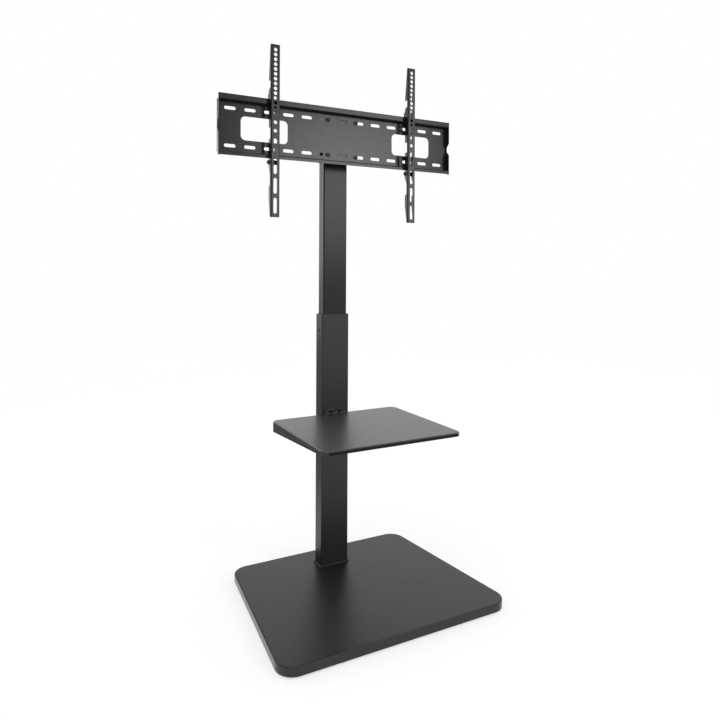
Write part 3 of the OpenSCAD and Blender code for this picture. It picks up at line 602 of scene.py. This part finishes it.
def seen_rays(nodes, links):
    """One for camera, glossy and transmission rays, nought for all others."""
    ray = nodes.new("ShaderNodeLightPath")
    seen = ray.outputs["Is Camera Ray"]
    for other in ("Is Glossy Ray", "Is Transmission Ray"):
        either = nodes.new("ShaderNodeMath")
        either.operation = "MAXIMUM"
        links.new(seen, either.inputs[0])
        links.new(ray.outputs[other], either.inputs[1])
        seen = either.outputs[0]
    return seen


def aimed(place, target):
    """Matrix that puts a lamp or a card at place and points its -z axis at target."""
    back = np.array(place, float) - np.array(target, float)
    back /= np.linalg.norm(back)
    right = np.cross((0.0, 0.0, 1.0), back)
    right /= np.linalg.norm(right)
    up = np.cross(back, right)
    return Matrix([[right[i], up[i], back[i], place[i]] for i in range(3)] + [[0, 0, 0, 1]])


def flat(name, half_x, half_y):
    """A rectangle in the xy plane, round the origin."""
    mesh = bpy.data.meshes.new(name)
    corners = [(sx * half_x, sy * half_y, 0.0) for sx, sy in ((-1, -1), (1, -1), (1, 1), (-1, 1))]
    mesh.from_pydata(corners, [], [(0, 1, 2, 3)])
    return mesh


def white_surroundings(light=0.84, seen=1.0):
    """White all round, a little dimmer as light on the object than as it is seen."""
    world = bpy.data.worlds.new("studio")
    bpy.context.scene.world = world
    world.use_nodes = True
    nodes = world.node_tree.nodes
    links = world.node_tree.links
    backdrop = nodes["Background"]
    backdrop.inputs["Color"].default_value = (1.0, 1.0, 1.0, 1.0)
    level = nodes.new("ShaderNodeMapRange")
    level.inputs["To Min"].default_value = light
    level.inputs["To Max"].default_value = seen
    links.new(seen_rays(nodes, links), level.inputs["Value"])
    links.new(level.outputs["Result"], backdrop.inputs["Strength"])


def white_floor(half=30.0, glow_share=0.6):
    """White floor that glows by a share for the rays that see it, and keeps the object's shadow."""
    mesh = flat("floor", half, half)
    floor = bpy.data.objects.new("floor", mesh)
    bpy.context.scene.collection.objects.link(floor)
    material, nodes, links, shader = node_tree("white_floor")
    patches = noise(nodes, links, scale=0.7)
    whites = tint(nodes, links, patches, (0.985, 0.985, 0.985), (1.0, 1.0, 1.0))
    links.new(whites, shader.inputs["Base Color"])
    shader.inputs["Roughness"].default_value = 1.0
    shader.inputs["Specular IOR Level"].default_value = 0.0
    glow = nodes.new("ShaderNodeEmission")
    share = nodes.new("ShaderNodeMath")
    share.operation = "MULTIPLY"
    share.inputs[1].default_value = glow_share
    links.new(seen_rays(nodes, links), share.inputs[0])
    blend = nodes.new("ShaderNodeMixShader")
    links.new(share.outputs[0], blend.inputs["Fac"])
    links.new(shader.outputs["BSDF"], blend.inputs[1])
    links.new(glow.outputs["Emission"], blend.inputs[2])
    links.new(blend.outputs["Shader"], nodes["Material Output"].inputs["Surface"])
    mesh.materials.append(material)


def soft_sun():
    """Broad, weak sun from above on the front left."""
    sun = bpy.data.lights.new("sun", "SUN")
    sun.energy = 0.62
    sun.angle = radians(60.0)
    lamp = bpy.data.objects.new("sun", sun)
    lamp.rotation_euler = (radians(35.0), 0.0, radians(-50.0))
    bpy.context.scene.collection.objects.link(lamp)


def panel(name, width, height, watts, place, target):
    """A rectangular lamp that the camera doesn't see, turned to target."""
    area = bpy.data.lights.new(name, "AREA")
    area.shape = "RECTANGLE"
    area.size = width
    area.size_y = height
    area.energy = watts
    lamp = bpy.data.objects.new(name, area)
    lamp.matrix_world = aimed(place, target)
    lamp.visible_camera = False
    bpy.context.scene.collection.objects.link(lamp)


def card(name, width, height, place, target, level):
    """An upright grey card, level bright, that only shows in reflections, turned to target."""
    mesh = flat(name, width / 2.0, height / 2.0)
    mesh.transform(aimed(place, target))
    material, nodes, links, shader = node_tree(name)
    shader.inputs["Base Color"].default_value = (0.0, 0.0, 0.0, 1.0)
    shader.inputs["Specular IOR Level"].default_value = 0.0
    shader.inputs["Emission Color"].default_value = (1.0, 1.0, 1.0, 1.0)
    shader.inputs["Emission Strength"].default_value = level
    mesh.materials.append(material)
    piece = bpy.data.objects.new(name, mesh)
    bpy.context.scene.collection.objects.link(piece)
    piece.visible_camera = False
    piece.visible_diffuse = False
    piece.visible_shadow = False


def studio():
    """White floor and surroundings, a soft sun, a softbox in front on the right, a weaker panel behind on
    the left, and cards in front, on the left and behind for the paint to reflect."""
    white_surroundings()
    white_floor()
    soft_sun()
    panel("softbox", 1.1, 1.0, 17.0, place=(1.28, -2.45, 1.45), target=(0.0, 0.1, 1.17))
    panel("backlight", 1.6, 0.9, 4.8, place=(-1.15, 2.45, 1.22), target=(0.0, 0.15, 1.0))
    card("front_card", 8.0, 1.7, place=(0.6, -3.3, 1.5), target=(0.0, 0.1, 1.5), level=0.30)
    card("left_card", 4.4, 2.4, place=(-3.4, -1.2, 1.75), target=(0.0, 0.1, 1.75), level=0.15)
    card("back_card", 0.7, 0.58, place=(-0.46, 0.66, 0.29), target=(-0.1, 0.0, 0.29), level=0.34)


def photograph():
    """The photograph's camera: 28.3 degrees to the front left, level, with the horizon above the middle."""
    camera = bpy.data.cameras.new("camera")
    camera.sensor_width = 36.0
    camera.lens = 31.84
    camera.shift_y = -0.1314
    camera.clip_end = 100.0
    view = bpy.data.objects.new("camera", camera)
    stand_point = Matrix.Translation((-0.7620, -1.4220, 0.8354))
    heading = Matrix.Rotation(radians(-28.31), 4, "Z")
    level = Matrix.Rotation(radians(90.0), 4, "X")
    roll = Matrix.Rotation(radians(0.25), 4, "Z")
    view.matrix_world = stand_point @ heading @ level @ roll
    bpy.context.scene.collection.objects.link(view)
    bpy.context.scene.camera = view


base_board()
column_tubes()
mount_plate()
arms()
shelf()
head()
moulded_pieces()
plate_washers()
enclosed_solids()
plate_screws()
shelf_screws()
cross_bolts()
arm_screws("left")
arm_screws("right")
head_welds()
studio()
photograph()
bpy.context.scene.view_settings.view_transform = "Standard"

bpy.context.view_layer.update()
